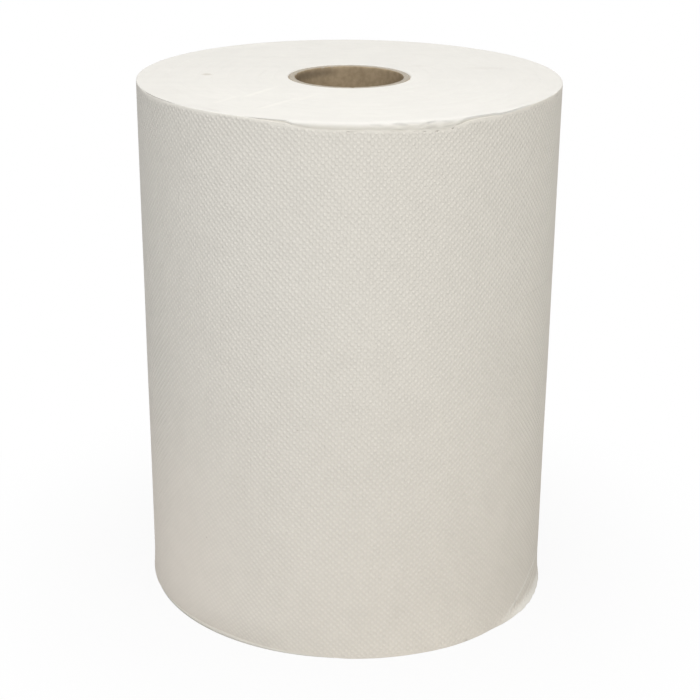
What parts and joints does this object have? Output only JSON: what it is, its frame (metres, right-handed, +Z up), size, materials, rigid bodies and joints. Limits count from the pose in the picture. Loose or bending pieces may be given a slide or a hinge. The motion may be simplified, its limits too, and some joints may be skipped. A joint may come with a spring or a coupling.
{
  "type": "paper towel roll",
  "caption": "Large hard-wound roll of white embossed paper towel on a spiral-wound board core, standing on end.",
  "frame": {"origin": "centre of the lower end face, on the winding axis", "axes": "+Z up along the winding axis from one end face to the other; -Y is the front, where the upper rim is worn; +Y is where the web ends"},
  "size_m": [0.1986, 0.1988, 0.254],
  "materials": {
    "towel_paper": "soft embossed matte paper",
    "core_board": "matte recycled board, cut edge rough"
  },
  "bodies": {
    "root": {"core_tube": "core_board", "towel_winding": "towel_paper"}
  },
  "joints": []
}
